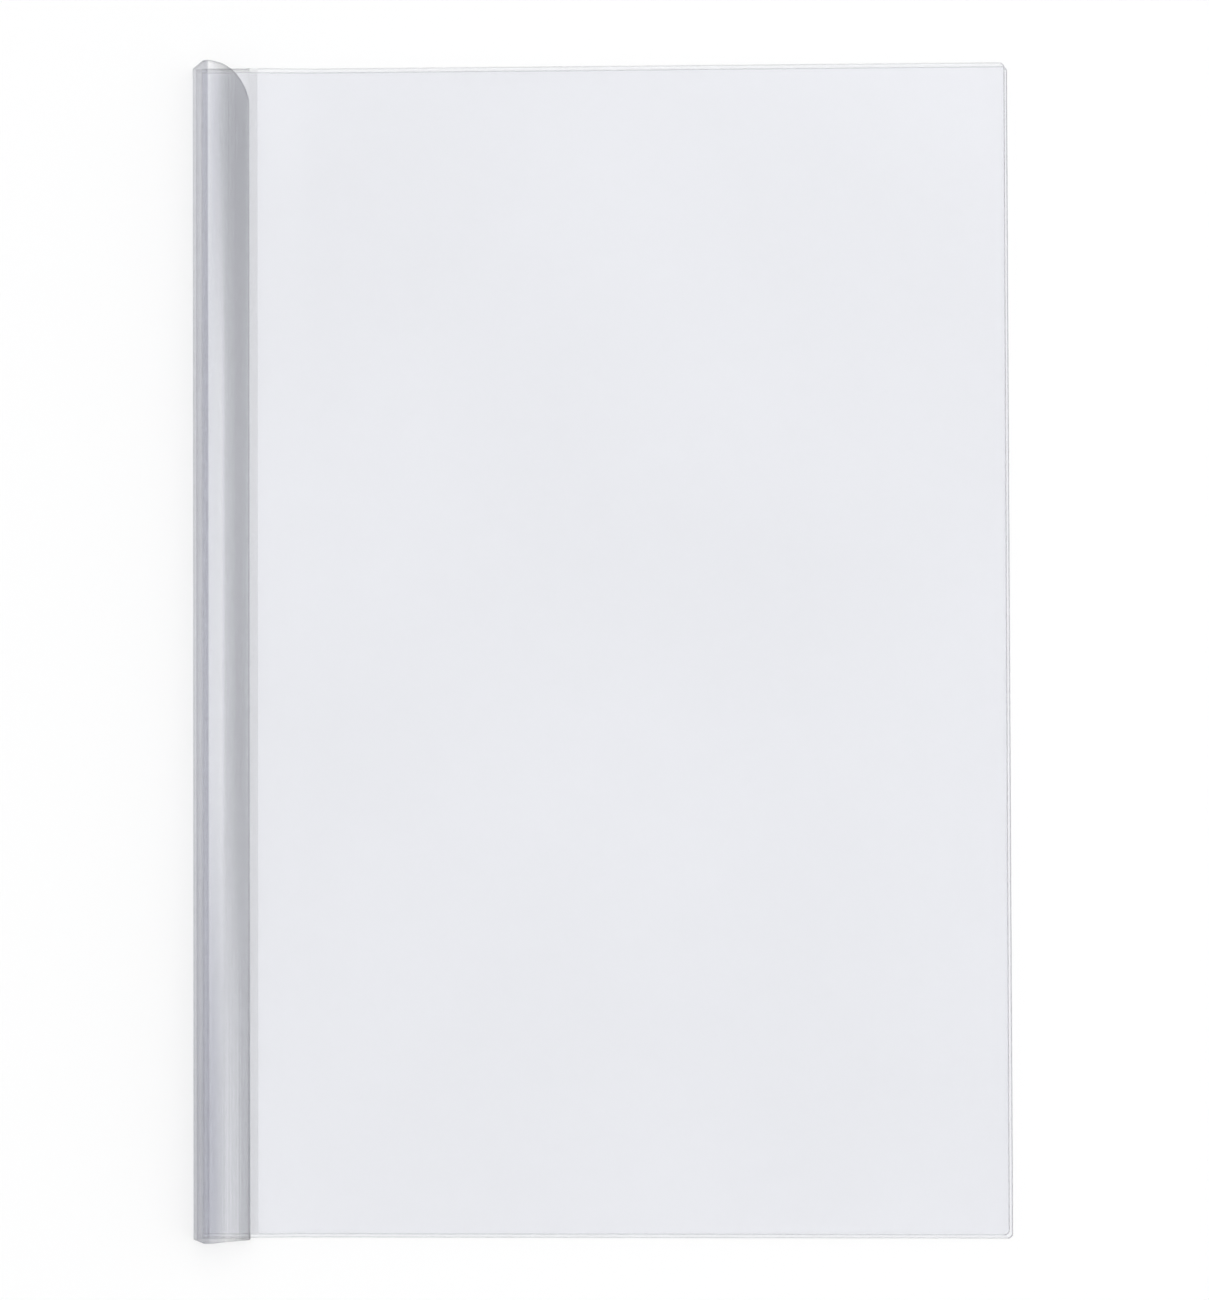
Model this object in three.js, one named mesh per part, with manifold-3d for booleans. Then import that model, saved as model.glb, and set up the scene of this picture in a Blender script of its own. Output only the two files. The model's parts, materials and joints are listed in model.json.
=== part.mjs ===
// A4 clip folder: one clear film sheet folded into two covers, gripped along its fold by a slide-on clip bar.
// It lies on its back cover. X runs from the clip bar to the free edge, Y along the bar, Z up from the table.
import * as THREE from "three";
import Module from "manifold-3d";
import { mergeVertices } from "three/addons/utils/BufferGeometryUtils.js";

const wasm = await Module();
wasm.setup();

// Driving dimensions, in millimetres and degrees
const folderWidth = 216; // foot of the clip bar to the back cover's free edge
const coverHeight = 308.6;
const barPastCovers = 0.7; // the clip bar is longer than the covers by this much at each end
const filmThickness = 0.3;
const frontEdgeShort = 1.3; // the front cover's free edge stops this far inside the back cover's
const foldSkew = 0.9; // the front cover sits this much higher than the back cover
const backCoverDrop = 0.25; // the back cover's middle lies this far below the bar's middle
const coverCornerRadius = 2;

const barWall = 0.8;
const backJawWidth = 15; // the bar's foot to the tip of the jaw under the covers
const frontJawPast = 0.2; // the tip of the jaw over the covers stands out past the other's
const spineWallWidth = 12.35;
const spineWallLean = 66; // from the table, towards the covers
const footRadius = 1.2;
const ridgeRadius = 1.6;
const kneeFromFoot = 9.2;
const kneeDip = 0.8; // the front jaw dips this far under a straight line from ridge to tip
const kneeRadius = 3;
const leadInAlong = 12; // the rounded corner that starts the bar onto the fold
const leadInAcross = 8;

const slideGap = 0.15; // between the bar's jaws and the film
const leafGap = 0.2; // between the sheet's two leaves
const foldFromFoot = 2.4;
const creaseFromTip = 1.1; // the front cover's crease, beyond the front jaw's tip
const creaseFreedomPanel = 0.15; // crease line to the front cover
const creaseClearance = 0.05; // left between gripped strip and front cover when it is open
const coverOpening = 130; // how far the front cover turns back, to lie against the clip bar
const rampFromTip = 2; // the back cover leaves the jaw's height here, from the back jaw's tip
const rampFromCrease = 2.7; // and the front cover here
const rampLength = 11;
const rampRadius = 40;

const degrees = (angle) => THREE.MathUtils.degToRad(angle);

// Heights of the layers, from the table up
const backLeafUnderJaw = barWall + slideGap + filmThickness / 2;
const frontLeafUnderJaw = backLeafUnderJaw + filmThickness + leafGap;
const backLeafOnTable = filmThickness / 2;
const frontLeafOnBack = backLeafOnTable + filmThickness + leafGap;
const frontTipHeight = frontLeafUnderJaw + filmThickness / 2 + slideGap + barWall / 2;

const barLength = coverHeight + barPastCovers * 2;
const frontJawReach = backJawWidth + frontJawPast;
const creaseX = frontJawReach + creaseFromTip;
const creaseFreedomStrip = creaseClearance + (filmThickness / 2) * Math.tan(degrees(coverOpening) / 2);
const frontCoverMiddle = foldSkew - backCoverDrop;
const stockAbove = 40; // height of the upright blanks that trim the plan
const arcSegments = 8;

const corner = (x, z, radius = 0) => ({ at: new THREE.Vector2(x, z), radius });
const leftOf = (direction) => new THREE.Vector2(-direction.y, direction.x);

// Every bend of a strip's middle line, as the arc that rounds it.
function bendsOf(corners) {
  return corners.slice(1, -1).map(({ at, radius }, i) => {
    const arriving = at.clone().sub(corners[i].at).normalize();
    const leaving = corners[i + 2].at.clone().sub(at).normalize();
    const turn = Math.atan2(arriving.cross(leaving), arriving.dot(leaving));
    const side = Math.sign(turn);
    const start = at.clone().addScaledVector(arriving, -radius * Math.tan(Math.abs(turn) / 2));
    const outward = (direction) => leftOf(direction).multiplyScalar(-side).angle();
    return {
      side,
      radius,
      centre: start.addScaledVector(leftOf(arriving), side * radius),
      from: outward(arriving),
      to: outward(leaving),
    };
  });
}

// The outline of a strip of one thickness that follows a bent middle line, with square or round tips.
function stripOutline(corners, thickness, roundTip = false) {
  const half = thickness / 2;
  const bends = bendsOf(corners);
  const [first, second] = corners;
  const [beforeLast, last] = corners.slice(-2);
  const startLeft = leftOf(second.at.clone().sub(first.at).normalize());
  const endLeft = leftOf(last.at.clone().sub(beforeLast.at).normalize());
  const outline = new THREE.Shape();
  const lineTo = (point, left, distance) =>
    outline.lineTo(point.x + left.x * distance, point.y + left.y * distance);

  if (roundTip)
    outline.absarc(first.at.x, first.at.y, half, startLeft.angle() + Math.PI, startLeft.angle(), true);
  else {
    outline.moveTo(first.at.x - startLeft.x * half, first.at.y - startLeft.y * half);
    lineTo(first.at, startLeft, half);
  }
  for (const { centre, radius, side, from, to } of bends)
    outline.absarc(centre.x, centre.y, radius - side * half, from, to, side < 0);
  lineTo(last.at, endLeft, half);
  if (roundTip)
    outline.absarc(last.at.x, last.at.y, half, endLeft.angle(), endLeft.angle() + Math.PI, true);
  lineTo(last.at, endLeft, -half);
  for (const { centre, radius, side, from, to } of [...bends].reverse())
    outline.absarc(centre.x, centre.y, radius + side * half, to, from, side > 0);
  outline.closePath();
  return outline;
}

function solidOf(geometry) {
  geometry.deleteAttribute("normal");
  geometry.deleteAttribute("uv");
  const merged = mergeVertices(geometry, 1e-4);
  return new wasm.Manifold(
    new wasm.Mesh({
      numProp: 3,
      vertProperties: new Float32Array(merged.attributes.position.array),
      triVerts: new Uint32Array(merged.index.array),
    }),
  );
}

function geometryOf(solid) {
  const { numProp, vertProperties, triVerts } = solid.getMesh();
  const geometry = new THREE.BufferGeometry();
  geometry.setAttribute("position", new THREE.BufferAttribute(new Float32Array(vertProperties), numProp));
  geometry.setIndex(new THREE.BufferAttribute(new Uint32Array(triVerts), 1));
  geometry.computeVertexNormals();
  return geometry;
}

// A section drawn in X and Z, run along Y about a middle.
function alongBar(outline, length, middle = 0) {
  const geometry = new THREE.ExtrudeGeometry(outline, {
    depth: length,
    bevelEnabled: false,
    curveSegments: arcSegments,
  });
  geometry.rotateX(Math.PI / 2);
  geometry.translate(0, middle + length / 2, 0);
  return solidOf(geometry);
}

// A plan drawn in X and Y, run upwards.
function upright(plan, from, to) {
  const geometry = new THREE.ExtrudeGeometry(plan, {
    depth: to - from,
    bevelEnabled: false,
    curveSegments: arcSegments * 2,
  });
  geometry.translate(0, 0, from);
  return solidOf(geometry);
}

// The plan of a cover whose two free corners are rounded.
function coverPlan(freeEdge, middle) {
  const top = middle + coverHeight / 2;
  const bottom = middle - coverHeight / 2;
  const round = coverCornerRadius;
  const plan = new THREE.Shape();
  plan.moveTo(-round, top);
  plan.lineTo(-round, bottom);
  plan.absarc(freeEdge - round, bottom + round, round, -Math.PI / 2, 0, false);
  plan.absarc(freeEdge - round, top - round, round, 0, Math.PI / 2, false);
  plan.closePath();
  return plan;
}

function makeClipBar() {
  const half = barWall / 2;
  const footX = footRadius - (footRadius - half) / Math.tan(degrees(spineWallLean) / 2);
  const foot = new THREE.Vector2(footX, half); // the rounded foot then starts at X = 0
  const ridge = new THREE.Vector2(spineWallWidth, 0)
    .rotateAround(new THREE.Vector2(), degrees(spineWallLean))
    .add(foot);
  const tip = new THREE.Vector2(frontJawReach - half, frontTipHeight);
  const straightAtKnee = THREE.MathUtils.mapLinear(kneeFromFoot, ridge.x, tip.x, ridge.y, tip.y);
  const section = [
    corner(backJawWidth - half, half),
    corner(foot.x, foot.y, footRadius - half),
    corner(ridge.x, ridge.y, ridgeRadius - half),
    corner(kneeFromFoot, straightAtKnee - kneeDip, kneeRadius),
    corner(tip.x, tip.y),
  ];
  return alongBar(stripOutline(section, barWall, true), barLength).subtract(leadInCutter());
}

// What the lead-in takes off the front jaw: the corner outside a quarter of an ellipse.
function leadInCutter() {
  const end = barLength / 2;
  const beyond = barWall;
  const plan = new THREE.Shape();
  plan.moveTo(frontJawReach - leadInAcross, end + beyond);
  plan.lineTo(frontJawReach - leadInAcross, end);
  plan.absellipse(
    frontJawReach - leadInAcross,
    end - leadInAlong,
    leadInAcross,
    leadInAlong,
    Math.PI / 2,
    0,
    true,
  );
  plan.lineTo(frontJawReach + beyond, end - leadInAlong);
  plan.lineTo(frontJawReach + beyond, end + beyond);
  plan.closePath();
  return upright(plan, frontLeafUnderJaw, stockAbove);
}

// The back cover, with the fold inside the bar and the strip of the front leaf that the jaws grip.
function makeBackCover() {
  const rampX = backJawWidth + rampFromTip;
  const foldRadius = (frontLeafUnderJaw - backLeafUnderJaw) / 2;
  const stripOverlap = creaseFreedomStrip;
  const stripStart = foldFromFoot + foldRadius * 2;
  const lowerLeaf = [
    corner(folderWidth, backLeafOnTable),
    corner(rampX + rampLength, backLeafOnTable, rampRadius),
    corner(rampX, backLeafUnderJaw, rampRadius),
    corner(foldFromFoot, backLeafUnderJaw, foldRadius),
    corner(foldFromFoot, frontLeafUnderJaw, foldRadius),
    corner(stripStart + stripOverlap, frontLeafUnderJaw),
  ];
  const strip = [
    corner(stripStart, frontLeafUnderJaw),
    corner(creaseX - creaseFreedomStrip, frontLeafUnderJaw),
  ];
  return alongBar(stripOutline(lowerLeaf, filmThickness), coverHeight, -backCoverDrop)
    .intersect(upright(coverPlan(folderWidth, -backCoverDrop), -filmThickness, stockAbove))
    .add(alongBar(stripOutline(strip, filmThickness), coverHeight, frontCoverMiddle));
}

function makeFrontCover() {
  const rampX = creaseX + rampFromCrease;
  const freeEdge = folderWidth - frontEdgeShort;
  const panel = [
    corner(creaseX + creaseFreedomPanel, frontLeafUnderJaw),
    corner(rampX, frontLeafUnderJaw, rampRadius),
    corner(rampX + rampLength, frontLeafOnBack, rampRadius),
    corner(freeEdge, frontLeafOnBack),
  ];
  return alongBar(stripOutline(panel, filmThickness), coverHeight, frontCoverMiddle).intersect(
    upright(coverPlan(freeEdge, frontCoverMiddle), -filmThickness, stockAbove),
  );
}

const clearFilm = new THREE.MeshStandardMaterial({
  color: 0xeceef4,
  roughness: 0.18,
  metalness: 0,
  transparent: true,
  opacity: 0.45,
});
const backFilm = new THREE.MeshStandardMaterial({
  color: 0xe9ebf1,
  roughness: 0.25,
  metalness: 0,
  transparent: true,
  opacity: 0.6,
});
const barPlastic = new THREE.MeshStandardMaterial({
  color: 0xccd1da,
  roughness: 0.22,
  metalness: 0,
  transparent: true,
  opacity: 0.7,
});

function named(name, solid, material) {
  const mesh = new THREE.Mesh(geometryOf(solid), material);
  mesh.name = name;
  return mesh;
}

const clipFolder = new THREE.Group();
clipFolder.add(
  named("clip_bar", makeClipBar(), barPlastic),
  named("back_cover", makeBackCover(), backFilm),
  named("front_cover", makeFrontCover(), clearFilm),
);
clipFolder.position.x = -folderWidth / 2;

export default clipFolder;
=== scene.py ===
import json
import math

import bmesh
import bpy
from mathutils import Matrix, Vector


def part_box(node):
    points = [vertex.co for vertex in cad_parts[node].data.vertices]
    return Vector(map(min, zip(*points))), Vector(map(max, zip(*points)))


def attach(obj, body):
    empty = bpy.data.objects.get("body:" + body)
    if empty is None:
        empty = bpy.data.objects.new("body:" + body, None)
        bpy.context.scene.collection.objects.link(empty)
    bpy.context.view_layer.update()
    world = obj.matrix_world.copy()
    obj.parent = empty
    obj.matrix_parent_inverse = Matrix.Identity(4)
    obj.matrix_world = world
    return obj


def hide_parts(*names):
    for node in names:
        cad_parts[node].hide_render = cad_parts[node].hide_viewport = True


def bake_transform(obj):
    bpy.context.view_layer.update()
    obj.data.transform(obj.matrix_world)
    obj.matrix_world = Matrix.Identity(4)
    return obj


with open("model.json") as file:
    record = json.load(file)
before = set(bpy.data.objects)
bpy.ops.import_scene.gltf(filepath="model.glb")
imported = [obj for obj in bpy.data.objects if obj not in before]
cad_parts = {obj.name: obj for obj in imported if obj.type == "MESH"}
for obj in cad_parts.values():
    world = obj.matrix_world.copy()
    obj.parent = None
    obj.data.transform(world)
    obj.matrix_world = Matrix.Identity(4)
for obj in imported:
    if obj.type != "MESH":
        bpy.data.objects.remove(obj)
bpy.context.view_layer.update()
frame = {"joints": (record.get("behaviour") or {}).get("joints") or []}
barLow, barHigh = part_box("clip_bar")
backLow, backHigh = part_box("back_cover")
frontLow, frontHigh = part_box("front_cover")
crease = Vector(frame["joints"][0]["pos_m"])
mm = 0.001
touching = 1e-6
white = (1, 1, 1, 1)
print("frame loaded")


# Meshes

edgeSettings = {"segments": 2, "fromAngle": 40}


def bentLine(corners, arcSteps):
    # One line of edges in X and Z, straight between its corners, with a spun arc where a corner has a radius.
    # It comes with the distance along the line to the middle of each bend.
    bm = bmesh.new()
    tip = bm.verts.new((corners[0][0], 0, corners[0][1]))
    run, bends = 0.0, []
    for before, here, after in zip(corners, corners[1:], corners[2:]):
        point = Vector((here[0], 0, here[1]))
        arriving = (point - Vector((before[0], 0, before[1]))).normalized()
        leaving = (Vector((after[0], 0, after[1])) - point).normalized()
        turn = arriving.angle(leaving)
        radius = here[2]
        arcStart = point - arriving * radius * math.tan(turn / 2)
        run += (arcStart - tip.co).length
        bends.append(run + radius * turn / 2)
        run += radius * turn
        tip = extrudedTo(bm, tip, arcStart)
        if radius:
            axis = arriving.cross(leaving).normalized()
            spun = bmesh.ops.spin(
                bm,
                geom=[tip],
                cent=arcStart + axis.cross(arriving) * radius,
                axis=axis,
                angle=turn,
                steps=arcSteps,
            )
            tip = next(v for v in spun["geom_last"] if isinstance(v, bmesh.types.BMVert))
    extrudedTo(bm, tip, Vector((corners[-1][0], 0, corners[-1][1])))
    return bm, bends


def extrudedTo(bm, vert, place):
    made = bmesh.ops.extrude_vert_indiv(bm, verts=[vert])["verts"][0]
    made.co = place
    return made


def drawnOut(bm, low, high):
    # The line becomes a sheet from low to high along Y.
    # Its UV map runs across in metres, and along from 0 to 1.
    bm.verts.ensure_lookup_table()
    across = {}
    vert, edge, run = bm.verts[0], None, 0.0
    while vert:
        across[vert.index] = run
        edge = next((e for e in vert.link_edges if e is not edge), None)
        if edge:
            run += edge.calc_length()
        vert = edge.other_vert(vert) if edge else None
    runLayer = bm.verts.layers.float.new("acrossRun")
    for v in bm.verts:
        v[runLayer] = across[v.index]
        v.co.y = low
    made = bmesh.ops.extrude_edge_only(bm, edges=bm.edges[:])["geom"]
    farVerts = [v for v in made if isinstance(v, bmesh.types.BMVert)]
    bmesh.ops.translate(bm, vec=(0, high - low, 0), verts=farVerts)
    bmesh.ops.recalc_face_normals(bm, faces=bm.faces[:])
    uv = bm.loops.layers.uv.new("acrossAlong")
    for face in bm.faces:
        for loop in face.loops:
            loop[uv].uv = (loop.vert[runLayer], (loop.vert.co.y - low) / (high - low))
    return run


def finished(bm, name, materials, wall, edgeRound, rimMaterial=0):
    # The sheet gets its wall and its rounded edges.
    mesh = bpy.data.meshes.new(name)
    bm.to_mesh(mesh)
    bm.free()
    mesh.polygons.foreach_set("use_smooth", [True] * len(mesh.polygons))
    piece = bpy.data.objects.new(name, mesh)
    bpy.context.scene.collection.objects.link(piece)
    for material in materials:
        mesh.materials.append(material)
    solidify = piece.modifiers.new("wall", "SOLIDIFY")
    solidify.thickness = wall
    solidify.offset = 0
    solidify.use_even_offset = True
    solidify.material_offset_rim = rimMaterial
    bevel = piece.modifiers.new("roundedEdges", "BEVEL")
    bevel.width = edgeRound
    bevel.segments = edgeSettings["segments"]
    bevel.limit_method = "ANGLE"
    bevel.angle_limit = math.radians(edgeSettings["fromAngle"])
    bevel.harden_normals = True
    bevel.material = rimMaterial or -1
    return piece


# Materials

def nodeMaterial(name):
    material = bpy.data.materials.new(name)
    material.use_nodes = True
    tree = material.node_tree
    tree.nodes.clear()
    return material, tree


def placed(tree, kind, inputs=None, **values):
    # A node with its settings. Each input is linked from a socket or set to a value.
    node = tree.nodes.new(kind)
    for key, value in values.items():
        setattr(node, key, value)
    for key, value in (inputs or {}).items():
        if isinstance(value, bpy.types.NodeSocket):
            tree.links.new(value, node.inputs[key])
        else:
            node.inputs[key].default_value = value
    return node


def worked(tree, operation, *terms):
    return placed(tree, "ShaderNodeMath", dict(enumerate(terms)), operation=operation).outputs[0]


def mixed(tree, share, first, second, blend="MIX"):
    inputs = {"Fac": share, "Color1": first, "Color2": second}
    return placed(tree, "ShaderNodeMixRGB", inputs, blend_type=blend).outputs["Color"]


def mapped(tree, value, fromMin, fromMax, toMin=0.0, toMax=1.0, interpolation="LINEAR"):
    inputs = {"Value": value, "From Min": fromMin, "From Max": fromMax, "To Min": toMin, "To Max": toMax}
    return placed(tree, "ShaderNodeMapRange", inputs, interpolation_type=interpolation).outputs["Result"]


def rampOf(tree, value, stops):
    ramp = placed(tree, "ShaderNodeValToRGB", {"Fac": value})
    elements = ramp.color_ramp.elements
    while len(elements) > 1:
        elements.remove(elements[-1])
    for i, (place, colour) in enumerate(stops):
        element = elements[0] if i == 0 else elements.new(place)
        element.position = place
        element.color = (*colour, 1)
    return ramp.outputs["Color"]


def bumpOf(tree, height, strength, distance):
    inputs = {"Height": height, "Strength": strength, "Distance": distance}
    return placed(tree, "ShaderNodeBump", inputs).outputs[0]


glossSettings = {"blend": 0.5, "power": 5.0, "edgeOn": 0.9, "faceOn": 0.02}


def seeThrough(tree, colour, bump, tintShare, haze, passedOn, roughness):
    # A thin clear plastic: what is behind it, tinted, under a share of its own milky colour and a gloss.
    # Each wall has two faces, so all of this acts twice.
    tint = mixed(tree, tintShare, white, colour)
    clear = placed(tree, "ShaderNodeBsdfTransparent", {"Color": tint})
    milky = placed(tree, "ShaderNodeBsdfDiffuse", {"Color": colour, "Normal": bump})
    glowing = placed(tree, "ShaderNodeBsdfTranslucent", {"Color": colour})
    scattered = placed(tree, "ShaderNodeMixShader", {0: passedOn, 1: milky.outputs[0], 2: glowing.outputs[0]})
    body = placed(tree, "ShaderNodeMixShader", {0: haze, 1: clear.outputs[0], 2: scattered.outputs[0]})
    gloss = placed(tree, "ShaderNodeBsdfGlossy", {"Roughness": roughness, "Normal": bump})
    facing = placed(tree, "ShaderNodeLayerWeight", {"Blend": glossSettings["blend"]})
    grazing = worked(tree, "POWER", facing.outputs["Facing"], glossSettings["power"])
    mirrored = worked(tree, "MULTIPLY_ADD", grazing, glossSettings["edgeOn"], glossSettings["faceOn"])
    coated = placed(tree, "ShaderNodeMixShader", {0: mirrored, 1: body.outputs[0], 2: gloss.outputs[0]})
    placed(tree, "ShaderNodeOutputMaterial", {"Surface": coated.outputs[0]})


# The clip bar: one extruded wall, bent round its foot, ridge and knee

clipBarSettings = {
    "wall": 0.8 * mm,
    "footOut": 0.03 * mm,  # the foot's bend stands out this much, so that its rounded outside meets the CAD's
    "footRadius": 0.8 * mm,
    "ridgeRadius": 1.2 * mm,
    "ridge": (4.99 * mm, 11.68 * mm),  # from the foot, where the middles of its two walls would meet
    "knee": (9.2 * mm, 6.86 * mm),
    "tipGap": 0.15 * mm,  # the front jaw's tip over the film
    "tipReach": 0.15 * mm,
    "backJawShorter": 0.2 * mm,
    "ribs": (8.75, 9.55, 10.35, 11.15, 11.95),  # in millimetres from the foot
    "ribStand": 0.07 * mm,
    "ribHalf": 0.14 * mm,
    "leadInAcross": 8 * mm,
    "leadInAlong": 12 * mm,
    "leadInCuts": 14,
    "leadInAbove": 2 * mm,  # only the front jaw is cut
    "edgeRound": 0.22 * mm,
    "arcSteps": 8,
    "haze": 0.06,
    "tintShare": 0.42,
    "passedOn": 0.3,  # share of the scattered light that goes through the wall
    "roughness": 0.25,
    # the cut end faces are painted this much darker, as shade
    "cutEndShade": 0.5,
    "highPart": (0.70, 0.96),  # along the bar, where the middle's painted shading turns into that of an end
    "lowPart": (0.45, 0.05),
    # Where the painted highlight lines over the ribs lie.
    "lineSpacing": 1.03 * mm,
    "linesFromKnee": 0.45 * mm,
    "lineEdge": 0.22,  # in line spacings from halfway between two lines
    "lineBand": (1.5, 2.5),  # its middle and half its width, in line spacings from the first line past the knee
    # Two places near an end, in lengths from the middle, and how light the plastic is painted at each: a
    # painted shade outline at both ends.
    "rim": (0.4976, 0.4994, 1.0, 0.8),
    "streaks": {"Scale": 9000.0, "Detail": 2.0},
    "streakBump": (0.12, 0.02 * mm),
    "casts": {  # red, green and blue powers of a tone: where the painted shade is deeper it is bluer
        "start": (1.0, 1.0, 1.0),
        "foot": (1.02, 1.0, 0.83),
        "ridge": (1.02, 1.0, 0.85),
        "knee": (1.02, 1.0, 0.95),
        "end": (1.02, 1.0, 0.94),
    },
    # Painted shade and highlight across the wall, standing in for how light falls on and through its bends: the
    # bend they count from, millimetres past it, then how light the plastic is painted at the lead-in's end, in
    # the middle of the length and at the other end.
    "tones": (
        ("start", 0.0, 0.94, 0.96, 0.95),
        ("foot", -1.2, 0.94, 0.96, 0.95),
        ("foot", 0.2, 0.48, 0.42, 0.32),
        ("foot", 1.2, 0.60, 0.50, 0.36),
        ("ridge", -0.7, 0.60, 0.54, 0.46),
        ("ridge", -0.15, 0.50, 0.46, 0.52),
        ("ridge", 0.15, 0.66, 0.50, 0.36),
        ("ridge", 0.5, 0.97, 0.94, 0.56),
        ("ridge", 1.8, 0.83, 0.95, 0.62),
        ("knee", -0.6, 0.66, 0.95, 0.68),
        ("knee", 0.1, 0.58, 0.70, 0.75),
        ("end", -2.8, 0.46, 0.48, 0.60),
        ("end", -0.8, 0.47, 0.54, 0.55),
        ("end", -0.3, 0.58, 0.60, 0.46),
        ("end", 0.0, 0.74, 0.68, 0.36),
    ),
}
backJawTipX = barHigh.x - clipBarSettings["backJawShorter"]


# A ramp of painted shade and highlight across the wall, for one part of the bar's length.
def paintedShadingAcross(tree, across, settings, bends, column, darker):
    stops = []
    for bend, past, *tones in settings["tones"]:
        tone = tones[column] * darker
        colour = tuple(tone**power for power in settings["casts"][bend])
        stops.append(((bends[bend] + past * mm) / bends["end"], colour))
    return rampOf(tree, across, stops)


def ribHighlightLines(tree, run, settings, bends):
    # Painted highlight lines over the ribs: 1 on a line, 0 beside it.
    spacing = settings["lineSpacing"]
    firstLine = bends["knee"] + settings["linesFromKnee"]
    middle, halfWidth = settings["lineBand"]
    sinceLine = worked(tree, "SUBTRACT", run, firstLine - spacing / 2)
    fromGap = worked(tree, "PINGPONG", sinceLine, spacing / 2)
    onLine = mapped(tree, fromGap, spacing * settings["lineEdge"], spacing / 2)
    inBand = worked(tree, "COMPARE", run, firstLine + middle * spacing, halfWidth * spacing)
    return worked(tree, "MULTIPLY", onLine, inBand)


def clipBarMaterial(name, settings, bends, darker=1.0):
    material, tree = nodeMaterial(name)
    place = placed(tree, "ShaderNodeUVMap", uv_map="acrossAlong")
    split = placed(tree, "ShaderNodeSeparateXYZ", {0: place.outputs["UV"]})
    run, along = split.outputs["X"], split.outputs["Y"]
    across = worked(tree, "DIVIDE", run, bends["end"])
    # Painted shade and highlight across the wall at the lead-in's end, in the middle and at the other end.
    highTone, middleTone, lowTone = (
        paintedShadingAcross(tree, across, settings, bends, column, darker) for column in range(3)
    )
    highPart, lowPart = (
        mapped(tree, along, *settings[part], interpolation="SMOOTHSTEP") for part in ("highPart", "lowPart")
    )
    tone = mixed(tree, highPart, mixed(tree, lowPart, middleTone, lowTone), highTone)
    # The painted highlight lines fade out towards the lead-in.
    lines = worked(tree, "MULTIPLY", ribHighlightLines(tree, run, settings, bends), lowPart)
    lined = mixed(tree, lines, tone, white)
    # Both ends have a darker rim of painted shade.
    fromMiddle = worked(tree, "ABSOLUTE", worked(tree, "SUBTRACT", along, 0.5))
    rim = mapped(tree, fromMiddle, *settings["rim"])
    outlined = mixed(tree, 1.0, lined, rim, blend="MULTIPLY")
    streaks = placed(tree, "ShaderNodeTexNoise", {"W": run, **settings["streaks"]}, noise_dimensions="1D")
    bump = bumpOf(tree, streaks.outputs["Fac"], *settings["streakBump"])
    clearness = (settings[key] for key in ("tintShare", "haze", "passedOn", "roughness"))
    seeThrough(tree, outlined, bump, *clearness)
    return material


def clipBarCorners(settings):
    # The middle of the wall, from the back jaw's tip to the front jaw's, and which of its corners is the knee.
    half = settings["wall"] / 2
    ridge, knee = (Vector((barLow.x + x, z)) for x, z in (settings["ridge"], settings["knee"]))
    tip = Vector((barHigh.x - half, frontHigh.z + settings["tipGap"] + half))
    tip += (tip - knee).normalized() * settings["tipReach"]
    ribs = []
    for rib in settings["ribs"]:
        x = barLow.x + rib * mm
        start, stop = (ridge, knee) if x < knee.x else (knee, tip)
        direction = (stop - start).normalized()
        outward = Vector((-direction.y, direction.x)) * settings["ribStand"]
        foot = start + (stop - start) * ((x - start.x) / (stop.x - start.x))
        for step, stand in ((-1, 0), (0, 1), (1, 0)):
            place = foot + direction * settings["ribHalf"] * step + outward * stand
            ribs.append((place.x, place.y, 0))
    beforeKnee = [
        (backJawTipX, barLow.z + half, 0),
        (barLow.x - settings["footOut"], barLow.z + half, settings["footRadius"]),
        (ridge.x, ridge.y, settings["ridgeRadius"]),
        *(rib for rib in ribs if rib[0] < knee.x),
    ]
    afterKnee = [*(rib for rib in ribs if rib[0] > knee.x), (tip.x, tip.y, 0)]
    return [*beforeKnee, (knee.x, knee.y, 0), *afterKnee], len(beforeKnee)


def cutLeadIn(bm, settings):
    # The front jaw's upper corner goes, by cuts along a quarter of an ellipse.
    across, along = settings["leadInAcross"], settings["leadInAlong"]
    centre = Vector((barHigh.x - across, barHigh.y - along))
    ridgeX = barLow.x + settings["ridge"][0]
    for i in range(settings["leadInCuts"]):
        angle = math.pi / 2 * (i + 0.5) / settings["leadInCuts"]
        cosine, sine = math.cos(angle), math.sin(angle)
        edge = centre + Vector((cosine * across, sine * along))
        normal = Vector((cosine / across, sine / along, 0)).normalized()
        middles = ((f, f.calc_center_median()) for f in bm.faces)
        frontJaw = [f for f, middle in middles if middle.z > settings["leadInAbove"] and middle.x > ridgeX]
        edges = dict.fromkeys(e for f in frontJaw for e in f.edges)
        verts = dict.fromkeys(v for f in frontJaw for v in f.verts)
        bmesh.ops.bisect_plane(
            bm,
            geom=[*frontJaw, *edges, *verts],
            plane_co=(edge.x, edge.y, 0),
            plane_no=normal,
            clear_outer=True,
            dist=touching / 10,
        )


def makeClipBar(settings):
    corners, kneeCorner = clipBarCorners(settings)
    bm, runs = bentLine(corners, settings["arcSteps"])
    end = drawnOut(bm, barLow.y, barHigh.y)
    cutLeadIn(bm, settings)
    bends = {"start": 0.0, "foot": runs[0], "ridge": runs[1], "knee": runs[kneeCorner - 1], "end": end}
    materials = [
        clipBarMaterial("frostedClipBar", settings, bends),
        # the cut ends get the same tones, painted darker as shade
        clipBarMaterial("shadedCutClipBarEnd", settings, bends, darker=settings["cutEndShade"]),
    ]
    piece = finished(bm, "clipBarShell", materials, settings["wall"], settings["edgeRound"], rimMaterial=1)
    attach(piece, "bar")
    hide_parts("clip_bar")


makeClipBar(clipBarSettings)
print("clip bar made")


# The film covers: one folded sheet, as a back leaf with its fold, a front leaf, and the crease between them

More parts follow.
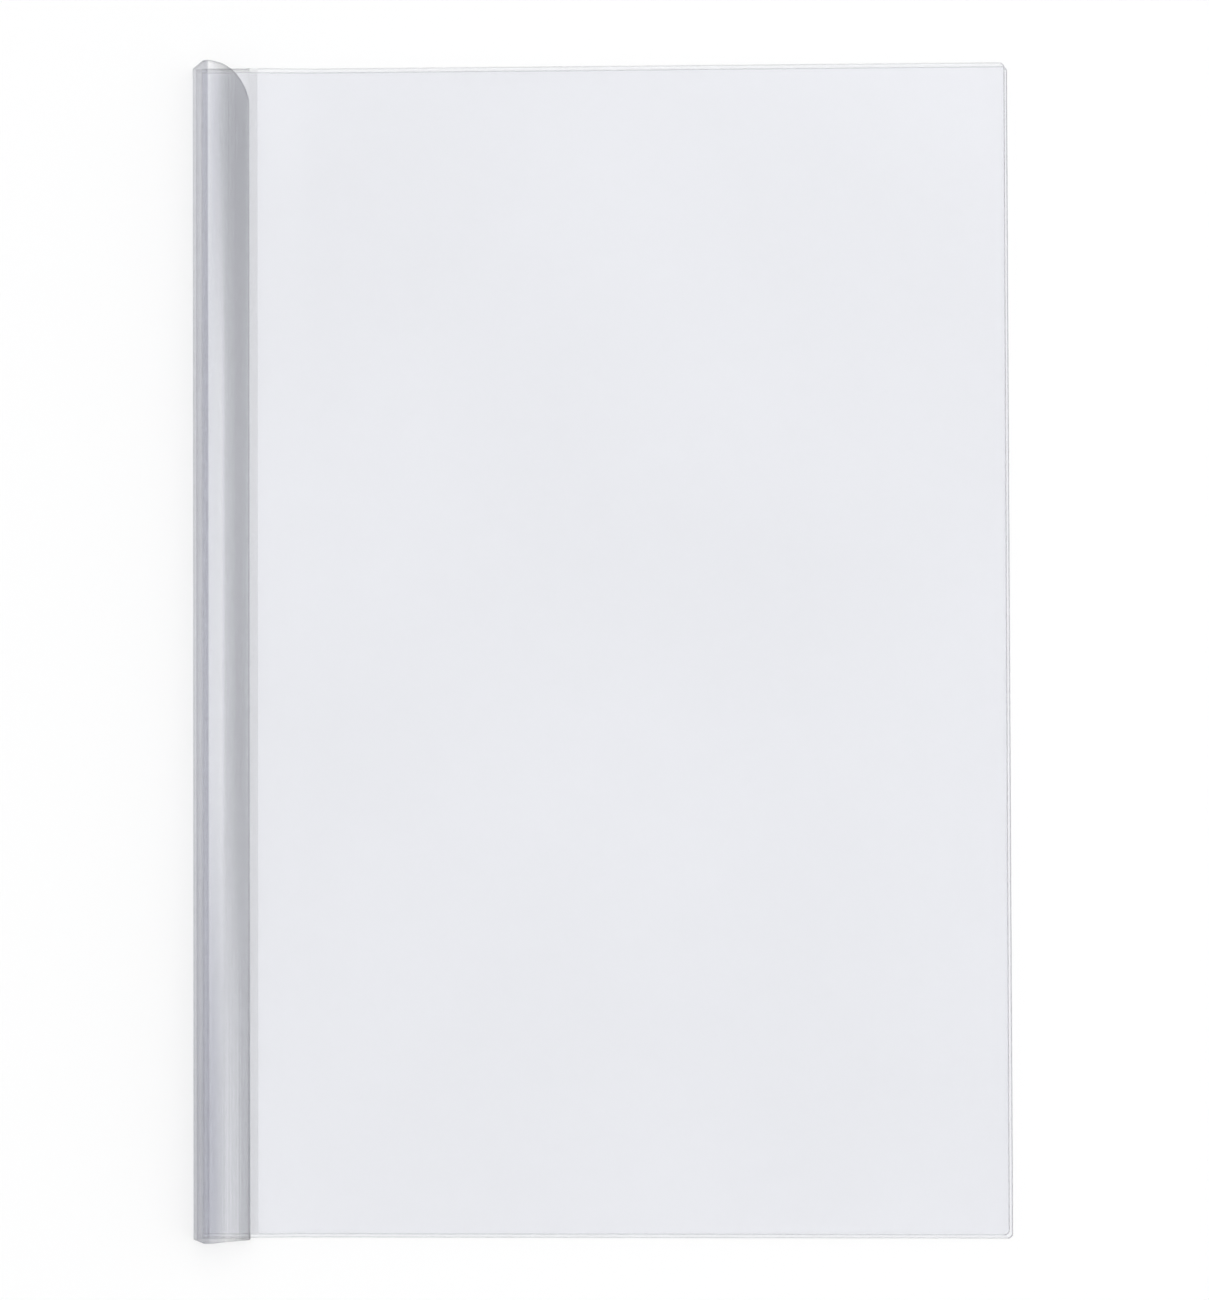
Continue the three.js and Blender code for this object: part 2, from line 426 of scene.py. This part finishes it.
filmSettings = {
    "thickness": 0.3 * mm,
    "cornerRadius": 1.4 * mm,
    "cornerSteps": 6,
    "edgeRound": 0.06 * mm,
    "foldRadius": 0.24 * mm,
    "foldDrop": 0.5 * mm,  # from the middle of the front leaf to the middle of the back one, inside the bar
    "foldSkew": 0.9 * mm,  # the fold is a little out of square, so the front leaf reaches this much higher
    "rampFromTip": 2 * mm,  # from the back jaw's tip to where the back cover starts down to the table
    "rampFromCrease": 3.3 * mm,
    "rampLength": 11 * mm,
    "rampRadius": 40 * mm,
    "arcSteps": 6,
    "creaseHalf": 0.9 * mm,
    "creaseSteps": 4,  # on either side of the hinge's axis
    "border": 0.28 * mm,
    "backLean": (0.0, -0.7 * mm),  # how far the free edge stands out at its lower and its upper end
    "frontLean": (0.4 * mm, -0.1 * mm),
    "passedOn": 0.5,
    "films": {  # haze, colour, share of the colour in what shows through, roughness
        "clearBackFilm": (0.03, (0.84, 0.85, 0.89), 0.16, 0.24),
        "clearFrontFilm": (0.03, (0.85, 0.86, 0.90), 0.16, 0.22),
        # the cut edges' borders are painted dark, as shade
        "shadedCutFreeEdge": (0.20, (0.46, 0.46, 0.50), 0.25, 0.3),
        # the crease strip is painted darker, as shade beside the jaw's tip
        "creaseShadeFilm": (0.04, (0.60, 0.61, 0.64), 0.17, 0.24),
        "shadedCutEnds": (0.10, (0.54, 0.55, 0.58), 0.18, 0.3),
    },
    "waves": {"Scale": 14.0, "Detail": 0.0},
    "waveTones": ((0.35, 0.985), (0.65, 1.0)),  # height of a wave, and how light the film is there
    "waveBump": (0.12, 2 * mm),
}
creaseReach = filmSettings["creaseHalf"]
filmHalf = filmSettings["thickness"] / 2


def filmMaterial(name, settings):
    haze, colour, tintShare, roughness = settings["films"][name]
    material, tree = nodeMaterial(name)
    place = placed(tree, "ShaderNodeTexCoord")
    waves = placed(tree, "ShaderNodeTexNoise", {"Vector": place.outputs["Object"], **settings["waves"]})
    height = waves.outputs["Fac"]
    stops = [(at, tuple(channel * light for channel in colour)) for at, light in settings["waveTones"]]
    bump = bumpOf(tree, height, *settings["waveBump"])
    seeThrough(tree, rampOf(tree, height, stops), bump, tintShare, haze, settings["passedOn"], roughness)
    return material


def trimmedOut(bm, freeX, lean, settings):
    # The free edge leans a little, its two corners are rounded, and the cut edges get a narrow border, painted
    # dark as the shade a cut edge of clear film shows.
    corners = sorted((v for v in bm.verts if abs(v.co.x - freeX) < touching), key=lambda v: v.co.y)
    for corner, outwards in zip(corners, lean):
        corner.co.x += outwards
    bmesh.ops.bevel(
        bm,
        geom=corners,
        offset=settings["cornerRadius"],
        segments=settings["cornerSteps"],
        affect="VERTICES",
        profile=0.5,
        material=-1,
    )
    border = bmesh.ops.inset_region(
        bm, faces=bm.faces[:], thickness=settings["border"], use_boundary=True, use_even_offset=True
    )["faces"]
    ends = [min(v.co.y for v in bm.verts), max(v.co.y for v in bm.verts)]
    near = settings["border"] * 2 + max(map(abs, settings["backLean"]))
    for face in border:
        centre = face.calc_center_median()
        if abs(centre.x - freeX) < near:
            face.material_index = 1
        elif min(abs(centre.y - end) for end in ends) < near:
            face.material_index = 2


def filmPiece(bm, name, filmNames, settings):
    materials = [bpy.data.materials.get(film) or filmMaterial(film, settings) for film in filmNames]
    return finished(bm, name, materials, settings["thickness"], settings["edgeRound"])


def makeBackCover(settings):
    lower = crease.z - settings["foldDrop"]
    foldX = backLow.x + filmHalf
    rampX = backJawTipX + settings["rampFromTip"]
    corners = [
        (backHigh.x, backLow.z + filmHalf, 0),
        (rampX + settings["rampLength"], backLow.z + filmHalf, settings["rampRadius"]),
        (rampX, lower, settings["rampRadius"]),
        (foldX, lower, settings["foldRadius"]),
        (foldX, crease.z, settings["foldRadius"]),
        (crease.x - creaseReach, crease.z, 0),
    ]
    leaf, _ = bentLine(corners, settings["arcSteps"])
    drawnOut(leaf, backLow.y, frontHigh.y - settings["foldSkew"])
    for vert in leaf.verts:
        climbed = min(1, max(0, (vert.co.z - lower) / (crease.z - lower)))
        vert.co.y += settings["foldSkew"] * climbed
    trimmedOut(leaf, backHigh.x, settings["backLean"], settings)
    back = filmPiece(leaf, "backCoverFilm", ("clearBackFilm", "shadedCutFreeEdge", "shadedCutEnds"), settings)
    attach(back, "back")
    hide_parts("back_cover")


def makeFrontCover(settings):
    rampX = crease.x + settings["rampFromCrease"]
    corners = [
        (crease.x + creaseReach, crease.z, 0),
        (rampX, crease.z, settings["rampRadius"]),
        (rampX + settings["rampLength"], frontLow.z + filmHalf, settings["rampRadius"]),
        (frontHigh.x, frontLow.z + filmHalf, 0),
    ]
    leaf, _ = bentLine(corners, settings["arcSteps"])
    drawnOut(leaf, frontLow.y, frontHigh.y)
    trimmedOut(leaf, frontHigh.x, settings["frontLean"], settings)
    front = filmPiece(leaf, "frontCoverFilm", ("clearFrontFilm", "shadedCutFreeEdge", "shadedCutEnds"), settings)
    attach(front, "front")
    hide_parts("front_cover")


def makeCrease(settings):
    steps = settings["creaseSteps"]
    corners = [(crease.x + creaseReach * step / steps, crease.z, 0) for step in range(-steps, steps + 1)]
    line, _ = bentLine(corners, settings["arcSteps"])
    drawnOut(line, frontLow.y, frontHigh.y)
    # The strip is painted darker, as the shade beside the jaw's tip.
    strip = filmPiece(line, "creaseFilm", ("creaseShadeFilm",), settings)
    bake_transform(strip)


makeBackCover(filmSettings)
makeFrontCover(filmSettings)
makeCrease(filmSettings)
print("covers made")


# Floor, light and camera

stageSettings = {
    "floorHalf": 3.0,
    "floorBelow": 0.03 * mm,
    "floorColour": (0.93, 0.93, 0.93, 1),
    "horizonLight": 1.0,
    "ceilingLight": 0.36,
    "skyTurns": (0.1, 0.45),  # heights between which the horizon's light turns into the ceiling's
    "softboxes": {  # place, size across and along, power in watts
        "overhead": ((1.5, 3.3, 5.1), (6.6, 4.8), 118.0),
        "fromRight": ((4.5, -0.6, 3.6), (3.0, 4.2), 148.0),
        "fromLeft": ((-4.5, -0.9, 3.9), (3.0, 4.2), 141.0),
    },
    "clearBounces": 32,  # jaws and two leaves of film are eight faces, each passed again after a bounce
    "otherBounces": 3,
}

cameraSettings = {
    "place": (0.02732, -0.05196, 0.866),
    "turn": (0.00901, 0.0306, -0.00187),
    "lens": 90.883,
    "shiftUp": 0.13,
    "clip": (0.01, 20),
}


def makeFloor(settings):
    bm = bmesh.new()
    bmesh.ops.create_grid(bm, x_segments=1, y_segments=1, size=settings["floorHalf"])
    mesh = bpy.data.meshes.new("floor")
    bm.to_mesh(mesh)
    bm.free()
    floor = bpy.data.objects.new("floor", mesh)
    floor.location.z = -settings["floorBelow"]
    bpy.context.scene.collection.objects.link(floor)
    material, tree = nodeMaterial("palePaper")
    matt = placed(tree, "ShaderNodeBsdfDiffuse", {"Color": settings["floorColour"]})
    placed(tree, "ShaderNodeOutputMaterial", {"Surface": matt.outputs[0]})
    mesh.materials.append(material)


def makeSky(settings):
    world = bpy.data.worlds.new("softRoom")
    world.use_nodes = True
    tree = world.node_tree
    direction = placed(tree, "ShaderNodeTexCoord")
    height = placed(tree, "ShaderNodeSeparateXYZ", {0: direction.outputs["Generated"]})
    lights = (settings["horizonLight"], settings["ceilingLight"])
    strength = mapped(tree, height.outputs["Z"], *settings["skyTurns"], *lights, interpolation="SMOOTHSTEP")
    background = tree.nodes["Background"]
    background.inputs["Color"].default_value = white
    tree.links.new(strength, background.inputs["Strength"])
    bpy.context.scene.world = world


def makeLights(settings):
    for name, (place, size, power) in settings["softboxes"].items():
        light = bpy.data.lights.new(name, "AREA")
        light.shape = "RECTANGLE"
        light.size, light.size_y = size
        light.energy = power
        light.use_shadow = False  # the photo's ground has next to no shadow
        softbox = bpy.data.objects.new(name, light)
        softbox.location = place
        softbox.rotation_euler = (-Vector(place)).to_track_quat("-Z", "Y").to_euler()
        softbox.visible_camera = False
        bpy.context.scene.collection.objects.link(softbox)


def setLightPaths(settings):
    bpy.context.scene.view_settings.view_transform = "Standard"
    cycles = bpy.context.scene.cycles
    cycles.transparent_max_bounces = settings["clearBounces"]
    cycles.diffuse_bounces = cycles.glossy_bounces = settings["otherBounces"]


def makeCamera(settings):
    data = bpy.data.cameras.new("camera")
    data.lens = settings["lens"]
    data.shift_y = settings["shiftUp"]
    data.clip_start, data.clip_end = settings["clip"]
    camera = bpy.data.objects.new("camera", data)
    camera.location = settings["place"]
    camera.rotation_euler = settings["turn"]
    bpy.context.scene.collection.objects.link(camera)
    bpy.context.scene.camera = camera


makeFloor(stageSettings)
makeSky(stageSettings)
makeLights(stageSettings)
setLightPaths(stageSettings)
makeCamera(cameraSettings)
print("stage and camera made")
